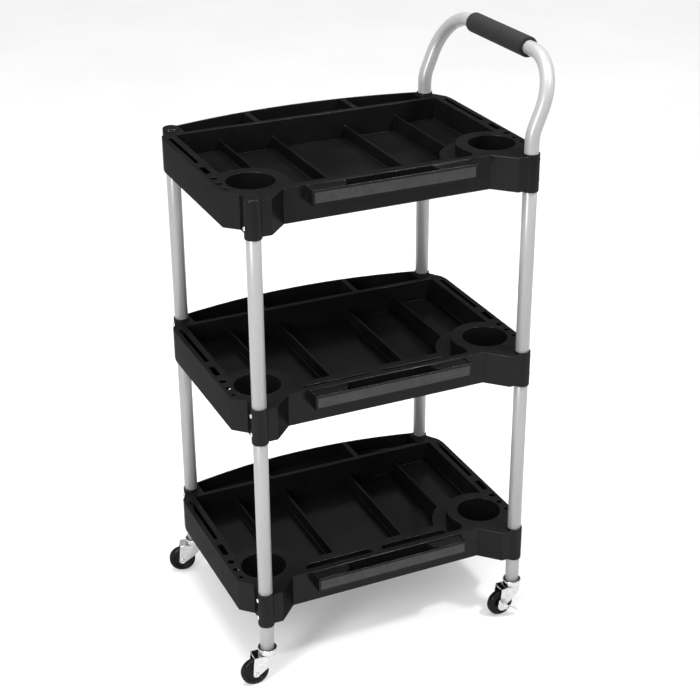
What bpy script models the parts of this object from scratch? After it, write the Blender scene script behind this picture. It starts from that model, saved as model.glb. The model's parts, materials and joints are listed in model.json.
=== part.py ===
"""Three-tier rolling tool cart: moulded trays on tube posts, a bent push handle and four swivel casters.

Units: lengths are written in millimetres and scaled to metres when a mesh is made.
Frame: the origin is on the floor under the middle of the bounding box, +X points to the handle end,
+Y points to the bowed back of the trays and +Z points up. Plan positions below are counted from
the middle of the four posts.
"""

import math

import bmesh
import bpy
from mathutils import Matrix, Vector

MM = 0.001

# ---- driving dimensions ----
POST_X = 254.0            # half the post spacing along X
POST_Y = 198.3            # half the post spacing along Y
TUBE_R = 12.7
TUBE_WALL = 1.2
GAP = 0.3                 # clearance between pieces that touch
FLOOR_TO_SLEEVE = 122.5   # floor to the foot of the bottom tray's sleeves
TRAY_PITCH = 372.2
TUBE_SIDES = 16
CUP_SIDES = 28
SLEEVE_SIDES = 20
SCREW_SIDES = 8

# tray, with heights counted from the tray's rim
SLEEVE_RISE = 3.0         # sleeve top above the rim
SLEEVE_FOOT = -65.0       # sleeve bottom
SLEEVE_R = 14.9
SLEEVE_STOP = -31.0       # middle of the web inside each sleeve that the tubes stop against
SKIRT_FOOT = -61.5
WALL = 3.0
RIM_X = 285.0
RECESS_Y = -172.0         # face of the recessed front wall
BLOCK_Y = -208.0          # front face of the corner blocks
BOW_END_X = 250.0
BOW_END_Y = 211.0
BOW_MID_Y = 243.0
BASIN_X = 258.0
BASIN_FRONT_Y = -160.0
BASIN_BACK_Y = 163.0
LEDGE_Z = -22.0           # ledge along the front and round both cup holders
LEDGE_Y = -98.0
OUTER_DIVIDER_X = 174.0
OUTER_DIVIDER_WALL = 3.0
INNER_DIVIDER_X = 72.0
INNER_DIVIDER_WALL = 5.0
INNER_DIVIDER_Z = -29.0
SIDE_BAY_Z = -41.0
BAY_Z = -52.0
CUP_X = 224.0
CUP_Y = -114.0
CUP_R = 41.3
RING_R = 63.0
LEDGE_RING_R = 90.0
RING_FILLET = 14.0
POCKET_Y = 173.0          # back pockets
POCKET_Z = -30.0
POCKET_END_X = 236.0
SEPARATOR_X = 97.0
SEPARATOR_WALL = 10.0
TROUGH_X = 151.0
TROUGH_Y = -200.0
TROUGH_Z = -28.0
TROUGH_MOUTH_X = 81.0
TROUGH_FILLET = 20.0
TROUGH_WALL = 2.5
TROUGH_LIP = 3.5           # width of the slots at both ends of the trough
SLOT_X = 272.2            # tool slots along both side rims
SLOT_FLOOR_Z = -25.0      # web that closes the eave under the side slots
LEDGE_SLOT_DEPTH = 17.0
SCREW_Z = -11.0
LOWER_SCREW_Z = -46.5     # screws of the two capped sleeves
SCREW_R = 2.0
SCREW_HEAD_R = 3.9

# handle
HANDLE_TILT = math.radians(21.5)
HANDLE_RISE = 151.9       # crossbar centre above the sleeve tops
HANDLE_BEND_R = 86.0
HANDLE_STRAIGHT = 18.0
HANDLE_FOOT_BEND_R = 75.0
GRIP_LENGTH = 195.0
GRIP_R = 18.4

# caster
WHEEL_R = 26.0
WHEEL_WIDTH = 18.0
TRAIL = 25.5              # from the swivel axis to the axle
AXLE_R = 3.0
FORK_WALL = 2.0
FORK_HALF = 12.6          # from the middle of the wheel to the outside of a fork leg
FORK_TOP = 61.4
CUP_FOOT = 62.0
CUP_BORE_FLOOR = 64.7
CUP_TOP = 73.0
STEM_R = 5.5
BRAKE_WALL = 1.6
PEDAL_END = 24.0          # from the middle of the wheel to the outer end of the brake pedal
TRAIL_HEADINGS = {        # the way each caster trails, in degrees anticlockwise from +X
    "front_left": 177.5,
    "front_right": 182.0,
    "back_left": 164.0,
    "back_right": 177.5,
}
BRAKED = ("front_right", "back_right")

CORNERS = {
    "front_left": (-1, -1),
    "front_right": (1, -1),
    "back_left": (-1, 1),
    "back_right": (1, 1),
}
TIERS = {
    "bottom_tray": FLOOR_TO_SLEEVE - SLEEVE_FOOT,
    "middle_tray": FLOOR_TO_SLEEVE - SLEEVE_FOOT + TRAY_PITCH,
    "top_tray": FLOOR_TO_SLEEVE - SLEEVE_FOOT + 2 * TRAY_PITCH,
}


# ---- scene and materials ----
def clear_scene():
    for obj in list(bpy.data.objects):
        bpy.data.objects.remove(obj, do_unlink=True)


def material(name, colour, roughness, metallic):
    made = bpy.data.materials.new(name)
    made.use_nodes = True
    shader = made.node_tree.nodes["Principled BSDF"]
    shader.inputs["Base Color"].default_value = (*colour, 1.0)
    shader.inputs["Roughness"].default_value = roughness
    shader.inputs["Metallic"].default_value = metallic
    return made


# ---- outlines, as lists of (x, y) points ----
def arc(centre, radius, start, end, steps):
    """Points on an arc from start to end, in degrees, both ends included."""
    turn = [math.radians(start + (end - start) * i / steps) for i in range(steps + 1)]
    return [(centre[0] + radius * math.cos(a), centre[1] + radius * math.sin(a)) for a in turn]


def mirrored(points):
    """The same outline reflected in X, still anticlockwise."""
    return [(-x, y) for x, y in reversed(points)]


def rectangle(x0, x1, y0, y1):
    return [(x0, y0), (x1, y0), (x1, y1), (x0, y1)]


def circle(centre, radius, sides):
    return arc(centre, radius, 0.0, 360.0, sides)[:-1]


def rounded_slot(x0, x1, y0, y1, steps):
    """A slot along X with half-round ends."""
    radius = (y1 - y0) / 2
    middle = (y0 + y1) / 2
    right = arc((x1 - radius, middle), radius, -90.0, 90.0, steps)
    left = arc((x0 + radius, middle), radius, 90.0, 270.0, steps)
    return right + left


def offset(points, distance):
    """Moves every side of an anticlockwise outline outward by distance."""
    moved = []
    count = len(points)
    for i in range(count):
        before = Vector(points[i - 1])
        here = Vector(points[i])
        after = Vector(points[(i + 1) % count])
        first = (here - before).normalized()
        second = (after - here).normalized()
        normal = Vector((first.y, -first.x)) + Vector((second.y, -second.x))
        normal.normalize()
        scale = distance / max(0.3, normal.dot(Vector((first.y, -first.x))))
        moved.append((here.x + normal.x * scale, here.y + normal.y * scale))
    return moved


def bow_circle():
    """Centre height and radius of the bowed back edge."""
    sagitta = BOW_MID_Y - BOW_END_Y
    radius = (BOW_END_X**2 + sagitta**2) / (2 * sagitta)
    return BOW_MID_Y - radius, radius


def bow_height(inset, x):
    centre_y, radius = bow_circle()
    return centre_y + math.sqrt((radius - inset) ** 2 - x**2)


def bow(inset, half_width, steps):
    """The bowed back edge from +half_width to -half_width."""
    centre_y, radius = bow_circle()
    reach = math.degrees(math.asin(half_width / (radius - inset)))
    return arc((0.0, centre_y), radius - inset, 90.0 - reach, 90.0 + reach, steps)


def tray_outline():
    right = [
        (190.0, RECESS_Y),
        (225.0, BLOCK_Y),
        (250.0, BLOCK_Y),
        (263.0, -198.0),
        (263.0, -165.0),
        (RIM_X, -143.0),
        (RIM_X, 150.0),
        (282.0, 166.0),
        (266.0, 190.0),
        (258.0, 205.0),
    ]
    left = mirrored(right)
    return right + bow(0.0, BOW_END_X, 12) + left


def basin_outline():
    """The basin at rim level, with a rounded boss round each cup holder."""
    reach = RING_R + RING_FILLET
    fillet_y = BASIN_FRONT_Y + RING_FILLET
    side = math.degrees(math.acos((BASIN_X - CUP_X) / RING_R))
    turn = math.degrees(math.asin((CUP_Y - fillet_y) / reach))
    fillet_x = CUP_X - reach * math.cos(math.radians(turn))
    notch = arc((fillet_x, fillet_y), RING_FILLET, -90.0, turn, 4)
    boss = arc((CUP_X, CUP_Y), RING_R, 180.0 + turn, side, 10)
    right = notch + boss[1:] + [(BASIN_X, BASIN_BACK_Y)]
    return right + mirrored(right)


def ledge_curve(x0, x1):
    """The edge of the ledge round the right cup holder, from x0 to x1."""
    start = math.degrees(math.acos((x0 - CUP_X) / LEDGE_RING_R))
    end = math.degrees(math.acos((x1 - CUP_X) / LEDGE_RING_R))
    return arc((CUP_X, CUP_Y), LEDGE_RING_R, start, end, 5)


def middle_zone():
    """The three middle bays and the two inner dividers between them."""
    edge = OUTER_DIVIDER_X - OUTER_DIVIDER_WALL / 2
    right = ledge_curve(ledge_corner_x(), edge) + [(edge, BASIN_BACK_Y)]
    return right + mirrored(right)


def ledge_corner_x():
    """Where the ledge along the front meets the ledge round the right cup holder."""
    return CUP_X - math.sqrt(LEDGE_RING_R**2 - (LEDGE_Y - CUP_Y) ** 2)


def side_bay():
    """The shallow bay at the right end."""
    inner = OUTER_DIVIDER_X + OUTER_DIVIDER_WALL / 2
    return ledge_curve(inner, BASIN_X) + [(BASIN_X, BASIN_BACK_Y), (inner, BASIN_BACK_Y)]


def second_bay():
    """The bay between the right outer and inner dividers."""
    inner = INNER_DIVIDER_X + INNER_DIVIDER_WALL / 2
    edge = OUTER_DIVIDER_X - OUTER_DIVIDER_WALL / 2
    front = [(inner, LEDGE_Y)] + ledge_curve(ledge_corner_x(), edge)
    return front + [(edge, BASIN_BACK_Y), (inner, BASIN_BACK_Y)]


def middle_bay():
    inner = INNER_DIVIDER_X - INNER_DIVIDER_WALL / 2
    return rectangle(-inner, inner, LEDGE_Y, BASIN_BACK_Y)


def back_pocket(x0, x1, y0, inset):
    """A back pocket from x0 to x1, between y0 and the bowed edge moved in by inset."""
    spread = bow(inset, max(abs(x0), abs(x1)), 8)
    back = [point for point in spread if x0 + 1.0 < point[0] < x1 - 1.0]
    first = (x1, bow_height(inset, x1))
    last = (x0, bow_height(inset, x0))
    return [(x0, y0), (x1, y0), first] + back + [last]


def trough_mouth():
    """The open middle of the front trough with its two long narrow slots."""
    front = TROUGH_Y + TROUGH_WALL
    lip = front + TROUGH_LIP
    end = TROUGH_X - TROUGH_WALL
    corner = arc((TROUGH_MOUTH_X + TROUGH_FILLET, lip + TROUGH_FILLET), TROUGH_FILLET, 270.0, 180.0, 4)
    right = [(end, front), (end, lip)] + corner + [(TROUGH_MOUTH_X, RECESS_Y - 0.5)]
    return right + mirrored(right)


# ---- mesh building ----
def extrude(bm, corners, shift):
    """Adds a closed prism from one flat face, given by its corners, moved along shift; both in mm."""
    face = bm.faces.new([bm.verts.new(Vector(corner) * MM) for corner in corners])
    grown = bmesh.ops.extrude_face_region(bm, geom=[face])
    moved = [item for item in grown["geom"] if isinstance(item, bmesh.types.BMVert)]
    bmesh.ops.translate(bm, vec=Vector(shift) * MM, verts=moved)
    bmesh.ops.recalc_face_normals(bm, faces=bm.faces)


def turned(bm, profile, sides, matrix=None):
    """Adds a closed body turned about Z from (radius, z) points, then moved by matrix."""
    rings = []
    for radius, z in profile:
        if radius == 0.0:
            rings.append([bm.verts.new((0.0, 0.0, z * MM))])
        else:
            spots = [(radius * math.cos(a), radius * math.sin(a), z) for a in full_turn(sides)]
            rings.append([bm.verts.new(Vector(spot) * MM) for spot in spots])
    pairs = list(zip(rings, rings[1:]))
    if len(rings[0]) > 1:
        pairs.append((rings[-1], rings[0]))
    for first, second in pairs:
        for i in range(sides):
            j = i + 1
            loop = [first[i % len(first)], first[j % len(first)]]
            loop += [second[j % len(second)], second[i % len(second)]]
            bm.faces.new(list(dict.fromkeys(loop)))
    bmesh.ops.recalc_face_normals(bm, faces=bm.faces)
    if matrix:
        bmesh.ops.transform(bm, matrix=matrix, verts=[vert for ring in rings for vert in ring])


def full_turn(sides):
    return [2 * math.pi * i / sides for i in range(sides)]


def mesh_object(name, bm, look=None):
    mesh = bpy.data.meshes.new(name)
    bm.to_mesh(mesh)
    bm.free()
    obj = bpy.data.objects.new(name, mesh)
    bpy.context.scene.collection.objects.link(obj)
    if look:
        mesh.materials.append(look)
    return obj


def helper(bm):
    """A hidden object that a Boolean uses up."""
    obj = mesh_object("helper", bm)
    obj.hide_render = True
    obj.display_type = "WIRE"
    return obj


def upright(shapes):
    """One hidden helper of separate upright prisms, each given as (outline, z0, z1)."""
    bm = bmesh.new()
    for points, z0, z1 in shapes:
        extrude(bm, [(x, y, z0) for x, y in points], (0.0, 0.0, z1 - z0))
    return helper(bm)


def combine(obj, other, operation):
    """Applies a Boolean and removes the other object, so that plain mesh is left."""
    modifier = obj.modifiers.new(operation.lower(), "BOOLEAN")
    modifier.operation = operation
    modifier.solver = "EXACT"
    modifier.object = other
    graph = bpy.context.evaluated_depsgraph_get()
    before = obj.data
    obj.data = bpy.data.meshes.new_from_object(obj.evaluated_get(graph))
    obj.modifiers.clear()
    bpy.data.meshes.remove(before)
    bpy.data.objects.remove(other, do_unlink=True)
    obj.data.name = obj.name


def smooth(obj, angle):
    """Joins faces that lie in one plane, then shades the round stretches smooth."""
    bm = bmesh.new()
    bm.from_mesh(obj.data)
    bmesh.ops.dissolve_limit(bm, angle_limit=math.radians(0.3), verts=bm.verts, edges=bm.edges)
    bm.to_mesh(obj.data)
    bm.free()
    obj.data.shade_smooth()
    obj.data.set_sharp_from_angle(angle=math.radians(angle))


def place(obj, x, y, z, heading=0.0):
    """Puts an object in the world; plan positions are counted from the middle of the posts."""
    obj.location = (x * MM, y * MM, z * MM)
    obj.rotation_euler = (0.0, 0.0, math.radians(heading))


def centre_model():
    """Moves everything so that the origin is on the floor under the middle of the bounding box."""
    bpy.context.view_layer.update()
    pieces = list(bpy.context.scene.objects)
    corners = [piece.matrix_world @ vert.co for piece in pieces for vert in piece.data.vertices]
    middle_x = (min(c.x for c in corners) + max(c.x for c in corners)) / 2
    middle_y = (min(c.y for c in corners) + max(c.y for c in corners)) / 2
    for piece in pieces:
        piece.location -= Vector((middle_x, middle_y, 0.0))


def both_sides(shapes):
    return shapes + [(mirrored(points), z0, z1) for points, z0, z1 in shapes]


# ---- trays ----
def side_slots():
    """Slots in the right rim: a long one, an oblong one and three round holes of falling size."""
    return [
        (rectangle(SLOT_X - 3.7, SLOT_X + 3.7, 5.0, 151.0), -10.0, 10.0),
        (rectangle(SLOT_X - 4.0, SLOT_X + 6.5, -53.0, -17.0), -10.0, 10.0),
        (circle((SLOT_X + 2.0, -78.0), 6.5, 8), -10.0, 10.0),
        (circle((SLOT_X + 2.4, -105.5), 5.5, 8), -10.0, 10.0),
        (circle((SLOT_X + 2.4, -132.0), 4.5, 8), -10.0, 10.0),
    ]


def ledge_slot(grow):
    """The slot in the right half of the front ledge, grown by a wall thickness where grow is set."""
    return rounded_slot(10.0 - grow, 145.0 + grow, -137.0 - grow, -116.0 + grow, 4)


def pockets(grow, z0, z1):
    """The three back pockets, grown by a wall thickness where grow is set."""
    step = SEPARATOR_WALL / 2
    inset = WALL - grow / 2
    end = back_pocket(SEPARATOR_X + step - grow, POCKET_END_X + grow, POCKET_Y - grow, inset)
    middle = SEPARATOR_X - step + grow
    shapes = both_sides([(end, z0, z1)])
    return shapes + [(back_pocket(-middle, middle, POCKET_Y - grow, inset), z0, z1 - grow / 10)]


def add_tray_walls(obj):
    """Adds a solid block round the place of every hollow, one wall thickness larger than the hollow."""
    slot_web = rectangle(BASIN_X + 1.0, RIM_X - 1.0, -140.0, 149.0)
    blocks = [
        [(offset(basin_outline(), WALL), LEDGE_Z - WALL, -1.0)],
        [(offset(middle_zone(), WALL), BAY_Z - WALL, LEDGE_Z - 1.0)],
        both_sides([(offset(side_bay(), WALL), SIDE_BAY_Z - WALL, LEDGE_Z - 1.5)]),
        both_sides([(circle((CUP_X, CUP_Y), CUP_R + WALL, CUP_SIDES), BAY_Z - WALL, -1.2)]),
        pockets(WALL, POCKET_Z - WALL, -1.4)[:2],
        pockets(WALL, POCKET_Z - WALL, -1.4)[2:],
        [(rectangle(-TROUGH_X, TROUGH_X, TROUGH_Y, RECESS_Y + 2.0), TROUGH_Z, -0.8)],
        both_sides([(slot_web, SLOT_FLOOR_Z - WALL, SLOT_FLOOR_Z)]),
        both_sides([(ledge_slot(WALL), LEDGE_Z - LEDGE_SLOT_DEPTH - WALL, LEDGE_Z - 1.1)]),
    ]
    for shapes in blocks:
        combine(obj, upright(shapes), "UNION")


def cut_tray_hollows(obj):
    """Cuts the hollows from the shallowest to the deepest."""
    inside = TROUGH_X - TROUGH_WALL
    eave = rectangle(-inside, inside, TROUGH_Y + TROUGH_WALL, RECESS_Y - 0.5)
    cup = circle((CUP_X, CUP_Y), CUP_R, CUP_SIDES)
    levels = [
        [(basin_outline(), LEDGE_Z, 5.0), (eave, -WALL, 5.0)],
        both_sides([(side_bay(), SIDE_BAY_Z, 5.0), (ledge_slot(0.0), LEDGE_Z - LEDGE_SLOT_DEPTH, 5.0)])
        + [(middle_zone(), INNER_DIVIDER_Z, 5.0), (trough_mouth(), TROUGH_Z + TROUGH_WALL, 5.0)],
        both_sides([(second_bay(), BAY_Z, 5.0), (cup, BAY_Z, 5.0)] + side_slots())
        + [(middle_bay(), BAY_Z, 5.0)]
        + pockets(0.0, POCKET_Z, 5.0),
        both_sides([(eave_hollow(), TROUGH_Z - 5.0, -WALL - 2.5)]),
    ]
    for shapes in levels:
        combine(obj, upright(shapes), "DIFFERENCE")


def add_sleeves(obj, capped):
    """Adds the corner sleeves; each is bored from both ends, or capped with a dome on the left."""
    plain = []
    domes = bmesh.new()
    bores = []
    for side_x, side_y in CORNERS.values():
        centre = (side_x * POST_X, side_y * POST_Y)
        bore = circle(centre, TUBE_R + GAP, TUBE_SIDES)
        if capped and side_x < 0:
            dome = [(0.0, SLEEVE_FOOT), (SLEEVE_R, SLEEVE_FOOT), (SLEEVE_R, 1.6), (13.6, 3.6), (0.0, 4.6)]
            turned(domes, dome, SLEEVE_SIDES, Matrix.Translation(Vector((*centre, 0.0)) * MM))
            bores.append((bore, SLEEVE_FOOT - 5.0, -1.0))
            continue
        plain.append((circle(centre, SLEEVE_R, SLEEVE_SIDES), SLEEVE_FOOT, SLEEVE_RISE))
        bores.append((bore, SLEEVE_FOOT - 5.0, SLEEVE_STOP - 1.0))
        bores.append((bore, SLEEVE_STOP + 1.0, SLEEVE_RISE + 5.0))
    combine(obj, upright(plain), "UNION")
    if capped:
        combine(obj, helper(domes), "UNION")
    else:
        domes.free()
    combine(obj, upright(bores), "DIFFERENCE")

    holes = bmesh.new()
    for side_x, side_y in CORNERS.values():
        screw_hole(holes, side_x, (side_x * POST_X, side_y * POST_Y, SCREW_Z))
        if capped and side_x < 0:
            screw_hole(holes, side_x, (side_x * POST_X, side_y * POST_Y, LOWER_SCREW_Z))
    combine(obj, helper(holes), "DIFFERENCE")


def screw_hole(bm, side, spot):
    """A cutter for one screw hole, from inside the tube at spot out through its +X or -X side."""
    profile = [(0.0, 6.0), (SCREW_R + GAP, 6.0), (SCREW_R + GAP, 20.0), (0.0, 20.0)]
    move = Matrix.Translation(Vector(spot) * MM) @ Matrix.Rotation(side * math.pi / 2, 4, "Y")
    turned(bm, profile, SCREW_SIDES, move)


def tray(name, look, capped):
    outline = tray_outline()
    bm = bmesh.new()
    extrude(bm, [(x, y, SKIRT_FOOT) for x, y in outline], (0.0, 0.0, -SKIRT_FOOT))
    obj = mesh_object(name, bm, look)
    combine(obj, upright([(offset(outline, -WALL), SKIRT_FOOT - 10.0, -WALL)]), "DIFFERENCE")
    add_tray_walls(obj)
    cut_tray_hollows(obj)
    add_sleeves(obj, capped)
    smooth(obj, 32.0)
    place(obj, 0.0, 0.0, TIERS[name])


def eave_hollow():
    """The space under the covered right end of the trough, open below."""
    back = RECESS_Y - WALL
    front = TROUGH_Y + 2 * TROUGH_WALL + TROUGH_LIP
    left = TROUGH_MOUTH_X + WALL
    return [
        (TROUGH_X - TROUGH_WALL, front),
        (TROUGH_X - TROUGH_WALL, back),
        (left, back),
        (left + 5.0, front + 4.0),
        (left + 15.0, front),
    ]


# ---- posts, handle and screws ----
def tube(name, length, look, screws):
    """A straight tube up from its foot, with a screw hole for each (height, side) in screws."""
    bm = bmesh.new()
    inner = TUBE_R - TUBE_WALL
    turned(bm, [(inner, 0.0), (TUBE_R, 0.0), (TUBE_R, length), (inner, length)], TUBE_SIDES)
    obj = mesh_object(name, bm, look)
    for height, side in screws:
        hole = bmesh.new()
        screw_hole(hole, side, (0.0, 0.0, height))
        combine(obj, helper(hole), "DIFFERENCE")
    smooth(obj, 32.0)
    return obj


def posts(look):
    """Leg tubes under the bottom tray and two tiers of posts, each plugged into the sleeves."""
    rims = list(TIERS.values())
    for corner, (side_x, side_y) in CORNERS.items():
        x = side_x * POST_X
        y = side_y * POST_Y
        foot = CUP_BORE_FLOOR + GAP
        place(tube(f"leg_tube_{corner}", rims[0] + STOP_BELOW - foot, look, []), x, y, foot)
        for name, low, high in (("lower_post", rims[0], rims[1]), ("upper_post", rims[1], rims[2])):
            foot = low + STOP_ABOVE
            top = high + STOP_BELOW
            screws = [(low + SCREW_Z - foot, side_x)]
            if side_x < 0 and name == "upper_post":
                top = high - 1.0 - GAP
                screws += [(high + z - foot, side_x) for z in (LOWER_SCREW_Z, SCREW_Z)]
            place(tube(f"{name}_{corner}", top - foot, look, screws), x, y, foot)


def handle_path():
    """Centre line of the handle from the front sleeve, over the crossbar, to the back sleeve."""
    leg = [Vector((0.0, 0.0, STOP_ABOVE - SLEEVE_RISE)), Vector((0.0, 0.0, HANDLE_STRAIGHT))]
    for i in range(1, 3):
        a = HANDLE_TILT * i / 2
        rise = Vector((1.0 - math.cos(a), 0.0, math.sin(a))) * HANDLE_FOOT_BEND_R
        leg.append(leg[1] + rise)
    lean = Vector((math.sin(HANDLE_TILT), 0.0, math.cos(HANDLE_TILT)))
    climb = (HANDLE_RISE - leg[-1].z) / lean.z - HANDLE_BEND_R
    bend = leg[-1] + lean * climb
    for i in range(6):
        a = math.pi / 2 * i / 5
        across = Vector((0.0, 1.0 - math.cos(a), 0.0))
        leg.append(bend + (lean * math.sin(a) + across) * HANDLE_BEND_R)
    front = [point - Vector((0.0, POST_Y, 0.0)) for point in leg]
    back = [Vector((point.x, -point.y, point.z)) for point in reversed(front)]
    return front + back


def swept_tube(bm, path, outer, inner, sides):
    """A hollow tube along a path, with rings square to the path."""
    side = Vector((1.0, 0.0, 0.0))
    skins = {outer: [], inner: []}
    for i, point in enumerate(path):
        along = (path[min(i + 1, len(path) - 1)] - path[max(i - 1, 0)]).normalized()
        side = (side - along * side.dot(along)).normalized()
        up = along.cross(side)
        for radius, rings in skins.items():
            spots = [point + (side * math.cos(a) + up * math.sin(a)) * radius for a in full_turn(sides)]
            rings.append([bm.verts.new(spot * MM) for spot in spots])
    loops = skins[outer] + list(reversed(skins[inner]))
    for first, second in zip(loops, loops[1:] + loops[:1]):
        for i in range(sides):
            j = (i + 1) % sides
            bm.faces.new((first[i], first[j], second[j], second[i]))
    bmesh.ops.recalc_face_normals(bm, faces=bm.faces)


def handle(paint, foam):
    bm = bmesh.new()
    path = handle_path()
    swept_tube(bm, path, TUBE_R, TUBE_R - TUBE_WALL, TUBE_SIDES)
    bent = mesh_object("handle_tube", bm, paint)
    holes = bmesh.new()
    for side_y in (-1, 1):
        screw_hole(holes, 1, (0.0, side_y * POST_Y, SCREW_Z - SLEEVE_RISE))
    combine(bent, helper(holes), "DIFFERENCE")
    smooth(bent, 32.0)
    base = TIERS["top_tray"] + SLEEVE_RISE
    place(bent, POST_X, 0.0, base)

    bm = bmesh.new()
    half = GRIP_LENGTH / 2
    bore = TUBE_R + 1.5 * GAP
    shoulder = GRIP_R - 2.5
    profile = [
        (bore, -half),
        (shoulder, -half),
        (GRIP_R, 2.5 - half),
        (GRIP_R, half - 2.5),
        (shoulder, half),
        (bore, half),
    ]
    turned(bm, profile, TUBE_SIDES, Matrix.Rotation(-math.pi / 2, 4, "X"))
    grip = mesh_object("handle_grip", bm, foam)
    smooth(grip, 32.0)
    place(grip, POST_X + handle_reach(), 0.0, base + HANDLE_RISE)


def handle_reach():
    """How far the crossbar stands out from the posts."""
    path = handle_path()
    return path[len(path) // 2].x


def sleeve_screws(look):
    """One pan-head screw through the outer side of every sleeve into the tube inside it.

    The two capped sleeves have theirs in the lower hole, and their upper hole is empty.
    """
    profile = [
        (0.0, 9.0),
        (SCREW_R, 9.0),
        (SCREW_R, SLEEVE_R + GAP),
        (SCREW_HEAD_R, SLEEVE_R + GAP),
        (SCREW_HEAD_R, SLEEVE_R + 1.3),
        (0.0, SLEEVE_R + 2.4),
    ]
    for tier, rim in TIERS.items():
        for corner, (side_x, side_y) in CORNERS.items():
            bm = bmesh.new()
            turned(bm, profile, SCREW_SIDES, Matrix.Rotation(side_x * math.pi / 2, 4, "Y"))
            screw = mesh_object(f"{tier}_screw_{corner}", bm, look)
            smooth(screw, 32.0)
            height = LOWER_SCREW_Z if tier == "top_tray" and side_x < 0 else SCREW_Z
            place(screw, side_x * POST_X, side_y * POST_Y, rim + height)


# ---- casters, each built with its swivel axis on Z and its wheel trailing to +X ----
def round_piece(name, profile, sides, look, matrix=None):
    bm = bmesh.new()
    turned(bm, profile, sides, matrix)
    obj = mesh_object(name, bm, look)
    smooth(obj, 35.0)
    return obj


def caster_fixed_pieces(corner, chrome, plastic):
    """The stem, the bush that holds it in the leg tube and the cup round the tube's foot."""
    stem = [
        (0.0, FORK_TOP - 7.2),
        (8.0, FORK_TOP - 7.2),
        (8.0, FORK_TOP - 4.0 - GAP),
        (STEM_R, FORK_TOP - 4.0 - GAP),
        (STEM_R, CUP_TOP + 22.0),
        (0.0, CUP_TOP + 22.0),
    ]
    bush_r = TUBE_R - TUBE_WALL - 1.5 * GAP
    bush = [
        (STEM_R + GAP, CUP_BORE_FLOOR + GAP),
        (bush_r, CUP_BORE_FLOOR + GAP),
        (bush_r, CUP_TOP + 25.0),
        (STEM_R + GAP, CUP_TOP + 25.0),
    ]
    cup = [
        (STEM_R + GAP, CUP_FOOT),
        (14.6, CUP_FOOT),
        (17.4, CUP_FOOT + 3.5),
        (17.4, CUP_TOP - 1.5),
        (16.6, CUP_TOP),
        (15.8, CUP_TOP),
        (TUBE_R + GAP, CUP_TOP - 5.0),
        (TUBE_R + GAP, CUP_BORE_FLOOR),
        (STEM_R + GAP, CUP_BORE_FLOOR),
    ]
    return [
        round_piece(f"caster_stem_{corner}", stem, 10, chrome),
        round_piece(f"caster_bush_{corner}", bush, 10, plastic),
        round_piece(f"caster_cup_{corner}", cup, TUBE_SIDES, chrome),
    ]


def fork(name, look):
    """A pressed fork: a top plate that turns down into two legs tapering to the axle."""
    leg = arc((TRAIL, WHEEL_R), 6.5, -148.0, 24.0, 5)
    leg += [(TRAIL + 5.0, 46.0), (TRAIL + 3.0, FORK_TOP - 1.0), (-11.0, FORK_TOP - 1.0)]
    leg += [(-10.5, 50.0), (0.5, 36.5)]
    bm = bmesh.new()
    for side in (-1, 1):
        inner = side * (FORK_HALF - FORK_WALL)
        extrude(bm, [(x, inner, z) for x, z in leg], (0.0, side * FORK_WALL, 0.0))
    obj = mesh_object(name, bm, look)
    round_end = arc((0.0, 0.0), 15.0, 123.0, 237.0, 4)
    plate = round_end + [(TRAIL + 3.0, -FORK_HALF), (TRAIL + 3.0, FORK_HALF)]
    combine(obj, upright([(plate, FORK_TOP - FORK_WALL, FORK_TOP)]), "UNION")
    race = circle((0.0, 0.0), 13.4, 14)
    combine(obj, upright([(race, FORK_TOP - 4.0, FORK_TOP + GAP)]), "UNION")
    lip = rectangle(TRAIL + 1.0, TRAIL + 2.6, 0.8 - FORK_HALF, FORK_HALF - 0.8)
    combine(obj, upright([(lip, FORK_TOP - 5.5, FORK_TOP - 0.5)]), "UNION")
    bore = circle((0.0, 0.0), STEM_R + 1.3 * GAP, 10)
    combine(obj, upright([(bore, FORK_TOP - 10.0, FORK_TOP + 10.0)]), "DIFFERENCE")
    combine(obj, axle_hole(TRAIL, WHEEL_R), "DIFFERENCE")
    smooth(obj, 35.0)
    return obj


def axle_hole(x, z):
    bm = bmesh.new()
    radius = AXLE_R + GAP
    profile = [(0.0, -PEDAL_END), (radius, -PEDAL_END), (radius, PEDAL_END), (0.0, PEDAL_END)]
    move = Matrix.Translation(Vector((x, 0.0, z)) * MM) @ Matrix.Rotation(-math.pi / 2, 4, "X")
    turned(bm, profile, 10, move)
    return helper(bm)


def wheel(name, look):
    """A solid wheel about its own Y axis, with a dished web, a hub and a rounded tread."""
    half = WHEEL_WIDTH / 2
    bore = AXLE_R + GAP
    side = [(bore, 0.0), (7.0, 0.0), (8.5, 2.4), (17.5, 2.4), (20.5, 0.6), (WHEEL_R, 3.2)]
    profile = [(r, inset - half) for r, inset in side]
    profile += [(r, half - inset) for r, inset in reversed(side)]
    return round_piece(name, profile, 20, look, Matrix.Rotation(-math.pi / 2, 4, "X"))


def axle(name, braked, look):
    """A rivet through the fork and wheel; it is longer on the side that carries a brake lever."""
    near = FORK_HALF + GAP
    far = near + (BRAKE_WALL + GAP if braked else 0.0)
    profile = [
        (0.0, -near - 1.7),
        (3.4, -near - 1.7),
        (4.4, -near - 0.8),
        (4.4, -near),
        (AXLE_R, -near),
        (AXLE_R, far),
        (4.4, far),
        (4.4, far + 0.8),
        (3.4, far + 1.7),
        (0.0, far + 1.7),
    ]
    return round_piece(name, profile, 10, look, Matrix.Rotation(-math.pi / 2, 4, "X"))


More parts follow.
